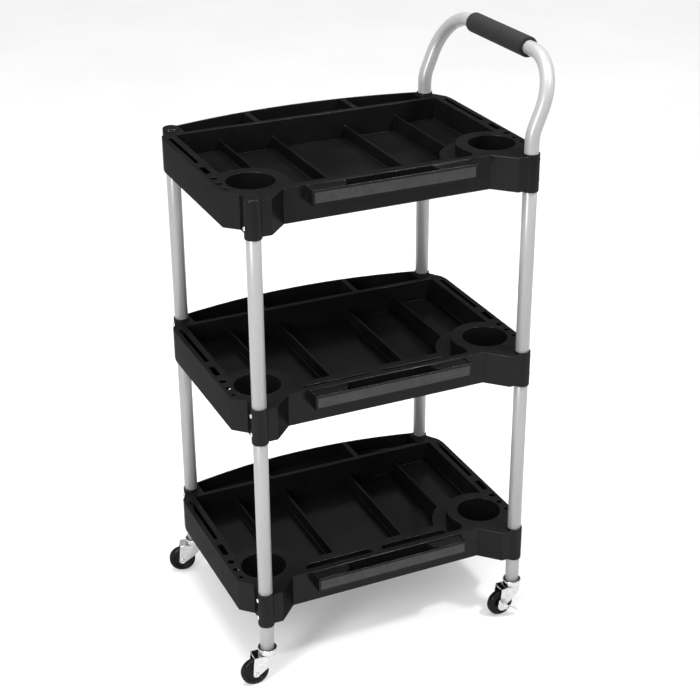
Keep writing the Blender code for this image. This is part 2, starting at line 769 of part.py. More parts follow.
def brake_lever(name, look):
    """A side plate on the axle with a pedal flange turned out along its sloping upper edge."""
    near = FORK_HALF + GAP
    curve = arc((0.0, 0.0), 11.7, -118.0, 4.0, 6)
    plate = [(9.6, 14.3), (-12.7, -3.1), (-9.3, -12.7)] + curve
    bm = bmesh.new()
    extrude(bm, [(x, near, z) for x, z in plate], (0.0, BRAKE_WALL, 0.0))
    obj = mesh_object(name, bm, look)
    flange = [(7.7, 12.3), (6.7, 13.6), (-29.3, -14.3), (-28.3, -15.6)]
    bm = bmesh.new()
    extrude(bm, [(x, near + 0.3, z) for x, z in flange], (0.0, PEDAL_END - near - 0.3, 0.0))
    combine(obj, helper(bm), "UNION")
    combine(obj, axle_hole(0.0, 0.0), "DIFFERENCE")
    smooth(obj, 35.0)
    return obj


def casters(chrome, plastic, rubber):
    for corner, (side_x, side_y) in CORNERS.items():
        x = side_x * POST_X
        y = side_y * POST_Y
        heading = TRAIL_HEADINGS[corner]
        for piece in caster_fixed_pieces(corner, chrome, plastic):
            place(piece, x, y, 0.0)
        place(fork(f"caster_fork_{corner}", chrome), x, y, 0.0, heading)
        braked = corner in BRAKED
        turning = [axle(f"caster_axle_{corner}", braked, chrome), wheel(f"caster_wheel_{corner}", rubber)]
        if braked:
            turning.append(brake_lever(f"brake_lever_{corner}", chrome))
        axle_x = x + TRAIL * math.cos(math.radians(heading))
        axle_y = y + TRAIL * math.sin(math.radians(heading))
        for piece in turning:
            place(piece, axle_x, axle_y, WHEEL_R, heading)


STOP_ABOVE = SLEEVE_STOP + 1.0 + GAP
STOP_BELOW = SLEEVE_STOP - 1.0 - GAP

clear_scene()
BLACK = material("black_plastic", (0.016, 0.016, 0.017), 0.5, 0.0)
SILVER = material("silver_paint", (0.52, 0.52, 0.53), 0.38, 0.55)
CHROME = material("bright_metal", (0.75, 0.75, 0.76), 0.15, 1.0)
FOAM = material("soft_foam", (0.02, 0.02, 0.02), 0.9, 0.0)
RUBBER = material("wheel_rubber", (0.014, 0.014, 0.014), 0.6, 0.0)
tray("bottom_tray", BLACK, False)
tray("middle_tray", BLACK, False)
tray("top_tray", BLACK, True)
posts(SILVER)
handle(SILVER, FOAM)
sleeve_screws(CHROME)
casters(CHROME, BLACK, RUBBER)
centre_model()
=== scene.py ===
"""Looks for a three-tier rolling tool cart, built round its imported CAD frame.

Lengths are in metres. Plan positions are counted from the middle of the four posts, which the
frame gives, with +X to the handle end, +Y to the bowed back of the trays and +Z up.
"""

import json
import math

import bmesh
import bpy
from mathutils import Matrix, Vector


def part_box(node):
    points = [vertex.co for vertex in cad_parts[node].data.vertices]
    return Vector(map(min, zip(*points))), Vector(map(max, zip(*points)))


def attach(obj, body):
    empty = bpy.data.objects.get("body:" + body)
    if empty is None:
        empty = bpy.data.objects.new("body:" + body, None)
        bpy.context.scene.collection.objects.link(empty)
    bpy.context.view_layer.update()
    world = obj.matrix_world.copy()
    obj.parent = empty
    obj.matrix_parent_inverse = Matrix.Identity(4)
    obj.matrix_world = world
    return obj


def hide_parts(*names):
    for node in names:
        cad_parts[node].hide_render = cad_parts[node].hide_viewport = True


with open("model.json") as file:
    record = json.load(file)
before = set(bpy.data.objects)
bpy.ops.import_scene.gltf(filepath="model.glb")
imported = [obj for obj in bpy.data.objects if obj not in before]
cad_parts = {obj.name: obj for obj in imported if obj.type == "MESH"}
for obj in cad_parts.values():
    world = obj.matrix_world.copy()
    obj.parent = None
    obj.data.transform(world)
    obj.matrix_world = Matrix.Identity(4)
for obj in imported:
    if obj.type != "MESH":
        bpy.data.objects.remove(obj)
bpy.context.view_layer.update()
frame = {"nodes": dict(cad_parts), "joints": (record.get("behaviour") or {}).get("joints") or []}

CORNERS = ("front_left", "front_right", "back_left", "back_right")
TIERS = ("bottom_tray", "middle_tray", "top_tray")

# sizes repeated from the CAD model
TUBE_R = 0.0127
TUBE_WALL = 0.0012
GAP = 0.0003
HANDLE_TILT = math.radians(21.5)
HANDLE_RISE = 0.1519
HANDLE_BEND_R = 0.086
HANDLE_STRAIGHT = 0.018
HANDLE_FOOT_BEND_R = 0.075
GRIP_LENGTH = 0.195
GRIP_R = 0.0184
WHEEL_R = 0.026
WHEEL_WIDTH = 0.018
TRAIL = 0.0255
AXLE_R = 0.003
FORK_WALL = 0.002
FORK_HALF = 0.0126
FORK_TOP = 0.0614
CUP_FOOT = 0.062
CUP_TOP = 0.073
STEM_R = 0.0055
BRAKE_WALL = 0.0016
PEDAL_END = 0.024
POST_SIDES = 48
PANEL_Y = -0.200
PANEL_HALF = 0.151
LOWER_SCREW_DROP = 0.0355

# roundings that only the looks have
FILLET = 0.0022
EDGE_SHARE = 0.35             # width of all other roundings, as a share of FILLET
FILLET_FROM = 0.03            # shortest inside corner that gets a full fillet
FILLET_FRONT = -0.160         # nothing further forward gets one
PANEL_BORDER = 0.0036
PANEL_STEP = 0.0005


def middle(node):
    """The middle of a node's box at rest."""
    low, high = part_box(node)
    return (Vector(low) + Vector(high)) / 2


ACROSS = Matrix.Rotation(-math.pi / 2, 4, "X")    # turns Z to +Y
POSTS = {corner: middle(f"leg_tube_{corner}") for corner in CORNERS}
PLAN = sum(POSTS.values(), Vector()) / 4
PLAN.z = 0.0

# The top tray's box is higher than its open sleeves, because two of its sleeves have caps.
SLEEVE_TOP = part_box("top_tray")[0][2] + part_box("bottom_tray")[1][2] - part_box("bottom_tray")[0][2]


# ---- materials ----
class Nodes:
    """Short helpers for building one node material."""

    def __init__(self, name):
        self.material = bpy.data.materials.new(name)
        self.material.use_nodes = True
        self.tree = self.material.node_tree
        self.shader = self.tree.nodes["Principled BSDF"]
        self.coords = self.add("ShaderNodeTexCoord").outputs["Object"]

    def add(self, kind, **settings):
        node = self.tree.nodes.new(kind)
        for key, value in settings.items():
            setattr(node, key, value)
        return node

    def link(self, output, socket):
        self.tree.links.new(output, socket)

    def noise(self, scale, detail=2.0, roughness=0.5):
        node = self.add("ShaderNodeTexNoise")
        node.inputs["Scale"].default_value = scale
        node.inputs["Detail"].default_value = detail
        node.inputs["Roughness"].default_value = roughness
        self.link(self.coords, node.inputs["Vector"])
        return node.outputs["Fac"]

    def cells(self, scale):
        node = self.add("ShaderNodeTexVoronoi")
        node.inputs["Scale"].default_value = scale
        self.link(self.coords, node.inputs["Vector"])
        return node.outputs["Distance"]

    def span(self, value, low, high, from_low=0.3, from_high=0.7):
        """Maps a texture value to the range low to high."""
        node = self.add("ShaderNodeMapRange")
        node.inputs["From Min"].default_value = from_low
        node.inputs["From Max"].default_value = from_high
        node.inputs["To Min"].default_value = low
        node.inputs["To Max"].default_value = high
        self.link(value, node.inputs["Value"])
        return node.outputs["Result"]

    def blend(self, value, first, second):
        """Mixes two colours by a value from 0 to 1."""
        node = self.add("ShaderNodeMix", data_type="RGBA")
        node.inputs["A"].default_value = (*first, 1.0)
        node.inputs["B"].default_value = (*second, 1.0)
        self.link(value, node.inputs["Factor"])
        return node.outputs["Result"]

    def sheen(self, facing, grazing):
        """Sets the specular level: the moulded grain hides most of the gloss at a low angle."""
        weight = self.add("ShaderNodeLayerWeight")
        level = self.span(weight.outputs["Facing"], facing, grazing, 0.25, 0.66)
        self.link(level, self.shader.inputs["Specular IOR Level"])

    def bump(self, value, distance, strength=1.0, after=None):
        node = self.add("ShaderNodeBump")
        node.inputs["Distance"].default_value = distance
        node.inputs["Strength"].default_value = strength
        self.link(value, node.inputs["Height"])
        if after:
            self.link(after, node.inputs["Normal"])
        return node.outputs["Normal"]

    def finish(self, colour, roughness, metallic=0.0, normal=None, **levels):
        self.link(colour, self.shader.inputs["Base Color"])
        self.link(roughness, self.shader.inputs["Roughness"])
        self.shader.inputs["Metallic"].default_value = metallic
        if normal:
            self.link(normal, self.shader.inputs["Normal"])
        for key, value in levels.items():
            self.shader.inputs[key].default_value = value
        return self.material


def tray_plastic():
    """Black moulded polypropylene: a fine leathery grain, faint flow marks and a slight sheen."""
    n = Nodes("tray_plastic")
    flow = n.noise(14.0, 4.0)
    grain = n.noise(1500.0, 3.0, 0.6)
    colour = n.blend(n.span(flow, 0.0, 1.0), (0.0032, 0.0032, 0.0033), (0.0050, 0.0050, 0.0051))
    roughness = n.span(n.noise(60.0, 5.0), 0.16, 0.25)
    normal = n.bump(grain, 0.00004, 0.3)
    n.sheen(0.12, 0.004)
    return n.finish(colour, roughness, 0.0, normal)


def panel_plastic_painted_light():
    """The face of the trough's front panel, coloured lighter than the tray: painted reflected light,
    with a random mottle.
    """
    n = Nodes("panel_plastic_painted_light")
    painted_light_mottle = n.noise(38.0, 5.0, 0.6)
    # both colours are far lighter than the tray plastic: painted reflected light, mottled at random
    colour = n.blend(n.span(painted_light_mottle, 0.0, 1.0), (0.018, 0.018, 0.0185), (0.028, 0.028, 0.0285))
    roughness = n.span(n.noise(90.0, 4.0), 0.24, 0.34)
    normal = n.bump(n.noise(1500.0, 3.0, 0.6), 0.00004, 0.4)
    return n.finish(colour, roughness, 0.0, normal, **{"Specular IOR Level": 0.2})


def silver_paint():
    """Silver powder coat: metal flake and a light orange peel."""
    n = Nodes("silver_paint")
    flake = n.noise(3200.0, 2.0, 0.7)
    colour = n.blend(n.span(flake, 0.0, 1.0), (0.21, 0.21, 0.212), (0.29, 0.29, 0.292))
    roughness = n.span(n.noise(90.0, 3.0), 0.28, 0.36)
    normal = n.bump(n.noise(700.0, 2.0), 0.00004, 0.4)
    return n.finish(colour, roughness, 0.15, normal)


def chrome_plate():
    """Bright plating with faint smears."""
    n = Nodes("chrome_plate")
    smear = n.noise(160.0, 4.0)
    colour = n.blend(n.span(smear, 0.0, 1.0), (0.50, 0.50, 0.505), (0.60, 0.60, 0.605))
    roughness = n.span(n.noise(320.0, 3.0), 0.04, 0.10)
    normal = n.bump(n.noise(900.0, 2.0), 0.00002, 0.3)
    return n.finish(colour, roughness, 1.0, normal)


def screw_zinc():
    """Zinc plating, slightly mottled."""
    n = Nodes("screw_zinc")
    patina = n.noise(900.0, 3.0)
    colour = n.blend(n.span(patina, 0.0, 1.0), (0.45, 0.45, 0.46), (0.66, 0.66, 0.67))
    roughness = n.span(n.noise(1500.0, 2.0), 0.22, 0.38)
    return n.finish(colour, roughness, 1.0, n.bump(patina, 0.00002, 0.4))


def grip_foam():
    """Closed-cell foam: small pits all over a matt black skin."""
    n = Nodes("grip_foam")
    pits = n.cells(900.0)
    mottle = n.noise(260.0, 4.0)
    colour = n.blend(n.span(mottle, 0.0, 1.0), (0.004, 0.004, 0.004), (0.010, 0.010, 0.010))
    roughness = n.span(mottle, 0.78, 0.95)
    normal = n.bump(pits, 0.0003, 0.6, n.bump(mottle, 0.0004, 0.4))
    levels = {"Specular IOR Level": 0.12, "Sheen Weight": 0.04, "Sheen Roughness": 0.6}
    return n.finish(colour, roughness, 0.0, normal, **levels)


def wheel_plastic():
    """Hard black wheel: satin web with a scuffed tread."""
    n = Nodes("wheel_plastic")
    scuff = n.noise(240.0, 5.0, 0.65)
    colour = n.blend(n.span(scuff, 0.0, 1.0), (0.0016, 0.0016, 0.0016), (0.0045, 0.0045, 0.0045))
    roughness = n.span(scuff, 0.20, 0.36)
    normal = n.bump(n.noise(1800.0, 2.0), 0.00004, 0.5)
    n.sheen(0.12, 0.02)
    return n.finish(colour, roughness, 0.0, normal)


def floor_paper():
    """Pale studio paper, with a weak glow of its own so that it stays white."""
    n = Nodes("floor_paper")
    tone = n.noise(2.0, 3.0)
    colour = n.blend(n.span(tone, 0.0, 1.0), (0.50, 0.50, 0.50), (0.53, 0.53, 0.53))
    glow = {"Emission Color": (1.0, 1.0, 1.0, 1.0), "Emission Strength": 0.25, "Specular IOR Level": 0.1}
    return n.finish(colour, n.span(tone, 0.75, 0.85), 0.0, None, **glow)


LOOKS = {
    "tray": tray_plastic(),
    "panel": panel_plastic_painted_light(),
    "tube": silver_paint(),
    "chrome": chrome_plate(),
    "screw": screw_zinc(),
    "foam": grip_foam(),
    "wheel": wheel_plastic(),
}


# ---- mesh building ----
def piece(name, bm, look, angle=35.0):
    """A new object from a bmesh, shaded smooth across edges flatter than angle."""
    mesh = bpy.data.meshes.new(name)
    bm.to_mesh(mesh)
    bm.free()
    mesh.shade_smooth()
    mesh.set_sharp_from_angle(angle=math.radians(angle))
    mesh.materials.append(LOOKS[look])
    obj = bpy.data.objects.new(name, mesh)
    bpy.context.scene.collection.objects.link(obj)
    return obj


def settle(obj):
    """Turns an object's modifiers into plain mesh."""
    graph = bpy.context.evaluated_depsgraph_get()
    made = bpy.data.meshes.new_from_object(obj.evaluated_get(graph))
    obj.modifiers.clear()
    obj.data = made


def soften(obj, width, segments=2, angle=30.0):
    """Rounds the edges sharper than angle, as moulding or pressing does."""
    bevel = obj.modifiers.new("soft_edges", "BEVEL")
    bevel.width = width
    bevel.segments = segments
    bevel.limit_method = "ANGLE"
    bevel.angle_limit = math.radians(angle)
    bevel.use_clamp_overlap = False
    settle(obj)
    even_shading(obj)


def even_shading(obj):
    """Shades the roundings smooth and keeps the flat faces flat."""
    obj.data.shade_smooth()
    obj.data.set_sharp_from_angle(angle=math.radians(60.0))
    weighted = obj.modifiers.new("flat_faces", "WEIGHTED_NORMAL")
    weighted.keep_sharp = True
    settle(obj)


def turned(bm, profile, sides, matrix=None):
    """Adds a closed body turned about Z from (radius, z) points, then moved by matrix."""
    rings = []
    for radius, z in profile:
        if radius == 0.0:
            rings.append([bm.verts.new((0.0, 0.0, z))])
        else:
            angles = [2 * math.pi * i / sides for i in range(sides)]
            rings.append([bm.verts.new((radius * math.cos(a), radius * math.sin(a), z)) for a in angles])
    pairs = list(zip(rings, rings[1:]))
    if len(rings[0]) > 1:
        pairs.append((rings[-1], rings[0]))
    for first, second in pairs:
        for i in range(sides):
            j = i + 1
            loop = [first[i % len(first)], first[j % len(first)]]
            loop += [second[j % len(second)], second[i % len(second)]]
            bm.faces.new(list(dict.fromkeys(loop)))
    bmesh.ops.recalc_face_normals(bm, faces=bm.faces)
    if matrix:
        bmesh.ops.transform(bm, matrix=matrix, verts=[vert for ring in rings for vert in ring])


def extrude(bm, corners, shift):
    """Adds a closed prism from one flat face moved along shift."""
    face = bm.faces.new([bm.verts.new(corner) for corner in corners])
    grown = bmesh.ops.extrude_face_region(bm, geom=[face])
    moved = [item for item in grown["geom"] if isinstance(item, bmesh.types.BMVert)]
    bmesh.ops.translate(bm, vec=shift, verts=moved)
    bmesh.ops.recalc_face_normals(bm, faces=bm.faces)


def arc(centre, radius, start, end, steps):
    """Points on an arc from start to end, in degrees, both ends included."""
    turn = [math.radians(start + (end - start) * i / steps) for i in range(steps + 1)]
    return [(centre[0] + radius * math.cos(a), centre[1] + radius * math.sin(a)) for a in turn]


def combine(obj, bm, operation):
    """Joins a second closed body to the object, or cuts it out."""
    mesh = bpy.data.meshes.new("tool")
    bm.to_mesh(mesh)
    bm.free()
    tool = bpy.data.objects.new("tool", mesh)
    bpy.context.scene.collection.objects.link(tool)
    modifier = obj.modifiers.new(operation.lower(), "BOOLEAN")
    modifier.operation = operation
    modifier.solver = "EXACT"
    modifier.object = tool
    settle(obj)
    bpy.data.objects.remove(tool, do_unlink=True)


def drill(obj, radius, start, end, sides, matrix=None):
    """Cuts a round hole along Z from start to end, or along the axis to which matrix moves it."""
    bm = bmesh.new()
    turned(bm, [(0.0, start), (radius, start), (radius, end), (0.0, end)], sides, matrix)
    combine(obj, bm, "DIFFERENCE")


def stand_for(obj, node, body="cart"):
    """Shows a piece in place of a CAD node, on the node's body."""
    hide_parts(node)
    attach(obj, body)


# ---- trays ----
def sink_panel(obj):
    """Steps the middle of the trough's front panel in and gives it the panel material, whose lighter
    colour is painted reflected light.
    """
    obj.data.materials.append(LOOKS["panel"])
    bm = bmesh.new()
    bm.from_mesh(obj.data)
    front = []
    for face in bm.faces:
        spot = face.calc_center_median() - PLAN
        if face.normal.y < -0.999 and spot.y < PANEL_Y + 0.0001 and abs(spot.x) < PANEL_HALF:
            front.append(face)
    bmesh.ops.inset_region(
        bm, faces=front, thickness=PANEL_BORDER, depth=-PANEL_STEP, use_even_offset=True
    )
    for face in front:
        face.material_index = 1
    bm.to_mesh(obj.data)
    bm.free()


def weigh_edges(bm):
    """Marks the edges to round: long inside corners get a full fillet, all others a narrow one."""
    weight = bm.edges.layers.float.new("bevel_weight_edge")
    for edge in bm.edges:
        turn = math.degrees(edge.calc_face_angle_signed())
        spot = (edge.verts[0].co + edge.verts[1].co) / 2 - PLAN
        inner = spot.y > FILLET_FRONT and edge.calc_length() > FILLET_FROM
        if inner and turn < -60.0:
            edge[weight] = 1.0
        elif abs(turn) > 30.0:
            edge[weight] = EDGE_SHARE


def moulded_tray(node):
    """The tray with every moulded edge rounded, so that the rims and dividers catch the light."""
    bm = bmesh.new()
    bm.from_mesh(frame["nodes"][node].data)
    bmesh.ops.remove_doubles(bm, verts=bm.verts, dist=0.00002)
    bmesh.ops.dissolve_limit(bm, angle_limit=math.radians(0.6), verts=bm.verts, edges=bm.edges)
    bmesh.ops.triangulate(bm, faces=bm.faces)
    weigh_edges(bm)
    obj = piece(f"{node}_moulding", bm, "tray")
    bevel = obj.modifiers.new("moulded_edges", "BEVEL")
    bevel.width = FILLET
    bevel.segments = 3
    bevel.limit_method = "WEIGHT"
    bevel.use_clamp_overlap = False
    settle(obj)
    sink_panel(obj)
    even_shading(obj)
    stand_for(obj, node)


# ---- tubes, handle and grip ----
def straight_tube(node):
    """A hollow tube that fills the node's box, with its rims slightly rounded."""
    low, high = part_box(node)
    length = high[2] - low[2]
    spot = middle(node)
    rounding = 0.0003
    inner = TUBE_R - TUBE_WALL
    profile = [
        (inner, 0.0),
        (TUBE_R - rounding, 0.0),
        (TUBE_R, rounding),
        (TUBE_R, length - rounding),
        (TUBE_R - rounding, length),
        (inner, length),
    ]
    bm = bmesh.new()
    turned(bm, profile, POST_SIDES, Matrix.Translation((spot.x, spot.y, low[2])))
    stand_for(piece(f"{node}_tube", bm, "tube", 50.0), node)


def handle_path(steps):
    """Centre line of the handle from the front sleeve, over the crossbar, to the back sleeve."""
    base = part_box("handle_tube")[0][2]
    leg = [Vector((0.0, 0.0, base - SLEEVE_TOP)), Vector((0.0, 0.0, HANDLE_STRAIGHT))]
    for i in range(1, steps + 1):
        a = HANDLE_TILT * i / steps
        leg.append(leg[1] + Vector((1.0 - math.cos(a), 0.0, math.sin(a))) * HANDLE_FOOT_BEND_R)
    lean = Vector((math.sin(HANDLE_TILT), 0.0, math.cos(HANDLE_TILT)))
    climb = (HANDLE_RISE - leg[-1].z) / lean.z - HANDLE_BEND_R
    bend = leg[-1] + lean * climb
    for i in range(2 * steps + 1):
        a = math.pi / 2 * i / (2 * steps)
        across = Vector((0.0, 1.0 - math.cos(a), 0.0))
        leg.append(bend + (lean * math.sin(a) + across) * HANDLE_BEND_R)
    half = (POSTS["back_right"].y - POSTS["front_right"].y) / 2
    front = [point - Vector((0.0, half, 0.0)) for point in leg]
    back = [Vector((point.x, -point.y, point.z)) for point in reversed(front)]
    shift = Vector((POSTS["front_right"].x, PLAN.y, SLEEVE_TOP))
    return [point + shift for point in front + back]


def handle():
    """The bent tube, and the foam grip on its crossbar."""
    path = handle_path(8)
    bm = bmesh.new()
    side = Vector((1.0, 0.0, 0.0))
    skins = {TUBE_R: [], TUBE_R - TUBE_WALL: []}
    for i, point in enumerate(path):
        along = (path[min(i + 1, len(path) - 1)] - path[max(i - 1, 0)]).normalized()
        side = (side - along * side.dot(along)).normalized()
        up = along.cross(side)
        for radius, rings in skins.items():
            angles = [2 * math.pi * k / POST_SIDES for k in range(POST_SIDES)]
            spots = [point + (side * math.cos(a) + up * math.sin(a)) * radius for a in angles]
            rings.append([bm.verts.new(spot) for spot in spots])
    loops = skins[TUBE_R] + list(reversed(skins[TUBE_R - TUBE_WALL]))
    for first, second in zip(loops, loops[1:] + loops[:1]):
        for i in range(POST_SIDES):
            j = (i + 1) % POST_SIDES
            bm.faces.new((first[i], first[j], second[j], second[i]))
    bmesh.ops.recalc_face_normals(bm, faces=bm.faces)
    stand_for(piece("handle_bent_tube", bm, "tube", 50.0), "handle_tube")

    half = GRIP_LENGTH / 2
    bore = TUBE_R + 1.5 * GAP
    rounding = 0.0035
    start = arc((GRIP_R - rounding, rounding - half), rounding, -90.0, 0.0, 6)
    end = arc((GRIP_R - rounding, half - rounding), rounding, 0.0, 90.0, 6)
    rings = 40
    body = [
        (GRIP_R, -half + rounding + (GRIP_LENGTH - 2 * rounding) * i / rings) for i in range(1, rings)
    ]
    profile = [(bore, -half)] + start + body + end + [(bore, half)]
    bm = bmesh.new()
    centre = middle("handle_grip")
    turned(bm, profile, 64, Matrix.Translation(centre) @ ACROSS)
    grip = piece("handle_foam_grip", bm, "foam", 60.0)
    stand_for(grip, "handle_grip")


# ---- screws ----
def pan_head(name, start, outward, length):
    """A pan head screw along X from start, with a cross recess; it faces outward, +1 or -1."""
    shank = 0.002
    head = 0.0039
    under = length - 0.0021
    profile = [(0.0, 0.0), (shank, 0.0), (shank, under), (head, under)]
    for i in range(6):
        a = math.radians(15.0 * i)
        profile.append((head * math.cos(a), under + 0.0005 + 0.0016 * math.sin(a)))
    bm = bmesh.new()
    turned(bm, profile + [(0.0, length)], 32)
    obj = piece(name, bm, "screw")
    for turn in (0.0, math.pi / 2):
        bm = bmesh.new()
        corners = [(-0.0021, -0.0004), (0.0021, -0.0004), (0.0021, 0.0004), (-0.0021, 0.0004)]
        extrude(bm, [(x, y, length - 0.0012) for x, y in corners], (0.0, 0.0, 0.003))
        bmesh.ops.rotate(bm, matrix=Matrix.Rotation(turn, 3, "Z"), verts=bm.verts)
        combine(obj, bm, "DIFFERENCE")
    obj.data.transform(Matrix.Translation(start) @ Matrix.Rotation(outward * math.pi / 2, 4, "Y"))
    obj.data.shade_smooth()
    obj.data.set_sharp_from_angle(angle=math.radians(40.0))
    return obj


def sleeve_screws(tier, corner):
    """The screw that the frame has, and the second one lower down where the sleeve has both."""
    node = f"{tier}_screw_{corner}"
    low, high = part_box(node)
    outward = 1.0 if corner.endswith("right") else -1.0
    inner = low[0] if outward > 0 else high[0]
    middle_y = (low[1] + high[1]) / 2
    middle_z = (low[2] + high[2]) / 2
    upper = pan_head(f"{node}_head", Vector((inner, middle_y, middle_z)), outward, high[0] - low[0])
    stand_for(upper, node)
    if tier == "top_tray" and corner.endswith("left"):
        return
    length = 0.0032
    outer = high[0] if outward > 0 else low[0]
    start = Vector((outer - outward * length, middle_y, middle_z - LOWER_SCREW_DROP))
    lower = pan_head(f"{node}_lower_head", start, outward, length)
    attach(lower, "cart")


# ---- casters, built with the swivel axis on Z and the wheel trailing to +X ----
def caster_cup(corner):
    """The pressed ring under the leg tube, with a rolled lip."""
    lip = arc((0.0163, CUP_TOP - 0.0011), 0.0011, 0.0, 180.0, 8)
    profile = [(STEM_R + GAP, CUP_FOOT), (0.0146, CUP_FOOT)]
    profile += arc((0.0144, CUP_FOOT + 0.003), 0.003, -80.0, 0.0, 8)
    profile += lip
    profile += [(0.0149, CUP_TOP - 0.0025), (TUBE_R + GAP, CUP_TOP - 0.005)]
    profile += [(TUBE_R + GAP, CUP_FOOT + 0.0027), (STEM_R + GAP, CUP_FOOT + 0.0027)]
    bm = bmesh.new()
    spot = POSTS[corner]
    turned(bm, profile, 64, Matrix.Translation((spot.x, spot.y, 0.0)))
    stand_for(piece(f"caster_cup_{corner}_ring", bm, "chrome", 50.0), f"caster_cup_{corner}")


def caster_fork(corner, place):
    """Two legs, the plate that joins them, its folded lip and the round race under the cup."""
    leg = arc((TRAIL, WHEEL_R), 0.0065, -148.0, 24.0, 16)
    leg += [(TRAIL + 0.005, 0.046), (TRAIL + 0.003, FORK_TOP - 0.001), (-0.011, FORK_TOP - 0.001)]
    leg += [(-0.0105, 0.05), (0.0005, 0.0365)]
    bm = bmesh.new()
    for side in (-1, 1):
        inner = side * (FORK_HALF - FORK_WALL)
        extrude(bm, [(x, inner, z) for x, z in leg], (0.0, side * FORK_WALL, 0.0))
    name = f"caster_fork_{corner}"
    obj = piece(f"{name}_pressing", bm, "chrome")
    plate = arc((0.0, 0.0), 0.015, 123.0, 237.0, 16)
    plate += [(TRAIL + 0.003, -FORK_HALF), (TRAIL + 0.003, FORK_HALF)]
    bm = bmesh.new()
    extrude(bm, [(x, y, FORK_TOP - FORK_WALL) for x, y in plate], (0.0, 0.0, FORK_WALL))
    combine(obj, bm, "UNION")
    race = [(0.0, FORK_TOP - 0.004), (0.0134, FORK_TOP - 0.004)]
    race += [(0.0134, FORK_TOP + GAP), (0.0, FORK_TOP + GAP)]
    bm = bmesh.new()
    turned(bm, race, 40)
    combine(obj, bm, "UNION")
    lip_half = FORK_HALF - 0.0008
    lip = [(TRAIL + 0.001, -lip_half), (TRAIL + 0.0026, -lip_half)]
    lip += [(TRAIL + 0.0026, lip_half), (TRAIL + 0.001, lip_half)]
    bm = bmesh.new()
    extrude(bm, [(x, y, FORK_TOP - 0.0055) for x, y in lip], (0.0, 0.0, 0.005))
    combine(obj, bm, "UNION")
    soften(obj, 0.0006, 3)
    drill(obj, STEM_R + 1.3 * GAP, 0.05, 0.08, 32)
    drill(obj, AXLE_R + GAP, -0.02, 0.02, 24, Matrix.Translation((TRAIL, 0.0, WHEEL_R)) @ ACROSS)
    obj.data.transform(place)
    stand_for(obj, name, f"caster_swivel_{corner}")


def caster_wheel(corner, place):
    """A solid wheel with a hub, a dished web and a rounded tread."""
    half = WHEEL_WIDTH / 2
    bore = AXLE_R + GAP
    side = [(bore, 0.0003), (0.0065, 0.0), (0.0072, 0.0006), (0.0076, 0.0022), (0.0088, 0.0028)]
    side += [(0.0160, 0.0028), (0.0168, 0.0024), (0.0172, 0.0010), (0.0178, 0.0005), (0.0192, 0.0005)]
    side += [(0.0204, 0.0010), (0.0226, 0.0018), (0.0246, 0.0030), (0.0257, 0.0046), (WHEEL_R, 0.0062)]
    profile = [(r, inset - half) for r, inset in side]
    profile += [(r, half - inset) for r, inset in reversed(side)]
    bm = bmesh.new()
    turned(bm, profile, 72, ACROSS)
    obj = piece(f"caster_wheel_{corner}_moulding", bm, "wheel", 50.0)
    obj.data.transform(place)
    stand_for(obj, f"caster_wheel_{corner}", f"caster_wheel_{corner}")


def caster_axle(corner, place, braked):
    """A tubular rivet with a rolled head at each end."""
    near = FORK_HALF + GAP
    far = near + (BRAKE_WALL + GAP if braked else 0.0)
    head = [(0.0044, 0.0), (0.0044, 0.0006), (0.0039, 0.0013), (0.003, 0.0017), (0.0021, 0.0014)]
    head += [(0.0017, 0.0007), (0.0016, 0.0001)]
    profile = [(0.0, -near - 0.0001)] + [(r, -near - z) for r, z in reversed(head)]
    profile += [(AXLE_R, -near), (AXLE_R, far)] + [(r, far + z) for r, z in head] + [(0.0, far + 0.0001)]
    bm = bmesh.new()
    turned(bm, profile, 32, ACROSS)
    obj = piece(f"caster_axle_{corner}_rivet", bm, "chrome", 60.0)
    obj.data.transform(place)
    stand_for(obj, f"caster_axle_{corner}", f"caster_swivel_{corner}")


def brake_lever(corner, place):
    """A flat cam plate beside the fork, folded out into a pedal."""
    near = FORK_HALF + GAP
    plate = [(0.0096, 0.0143), (-0.0127, -0.0031), (-0.0093, -0.0127)]
    plate += arc((0.0, 0.0), 0.0117, -118.0, 4.0, 16)
    bm = bmesh.new()
    extrude(bm, [(x, near, z) for x, z in plate], (0.0, BRAKE_WALL, 0.0))
    name = f"brake_lever_{corner}"
    obj = piece(f"{name}_pressing", bm, "chrome")
    flange = [(0.0077, 0.0123), (0.0067, 0.0136), (-0.0293, -0.0143), (-0.0283, -0.0156)]
    bm = bmesh.new()
    extrude(bm, [(x, near + GAP, z) for x, z in flange], (0.0, PEDAL_END - near - GAP, 0.0))
    combine(obj, bm, "UNION")
    soften(obj, 0.0004, 2)
    drill(obj, AXLE_R + GAP, -0.02, 0.03, 24, ACROSS)
    obj.data.transform(place)
    stand_for(obj, name, name)


def caster(corner):
    """Places every piece of one caster by its joints in the frame."""
    spin = next(j for j in frame["joints"] if j["name"] == f"wheel_spin_{corner}")
    across = Vector(spin["axis"])
    heading = math.atan2(-across.x, across.y)
    turn = Matrix.Rotation(heading, 4, "Z")
    swivel = Matrix.Translation((POSTS[corner].x, POSTS[corner].y, 0.0)) @ turn
    wheel = Matrix.Translation(spin["pos_m"]) @ turn
    braked = f"brake_lever_{corner}" in frame["nodes"]
    caster_cup(corner)
    caster_fork(corner, swivel)
    caster_wheel(corner, wheel)
    caster_axle(corner, wheel, braked)
    if braked:
        brake_lever(corner, wheel)
    for node, look in ((f"caster_stem_{corner}", "chrome"), (f"caster_bush_{corner}", "wheel")):
        obj = frame["nodes"][node]
        obj.data.materials.clear()
        obj.data.materials.append(LOOKS[look])


for tier in TIERS:
    moulded_tray(tier)
for corner in CORNERS:
    for kind in ("leg_tube", "lower_post", "upper_post"):
        straight_tube(f"{kind}_{corner}")
    for tier in TIERS:
        sleeve_screws(tier, corner)
    caster(corner)
handle()


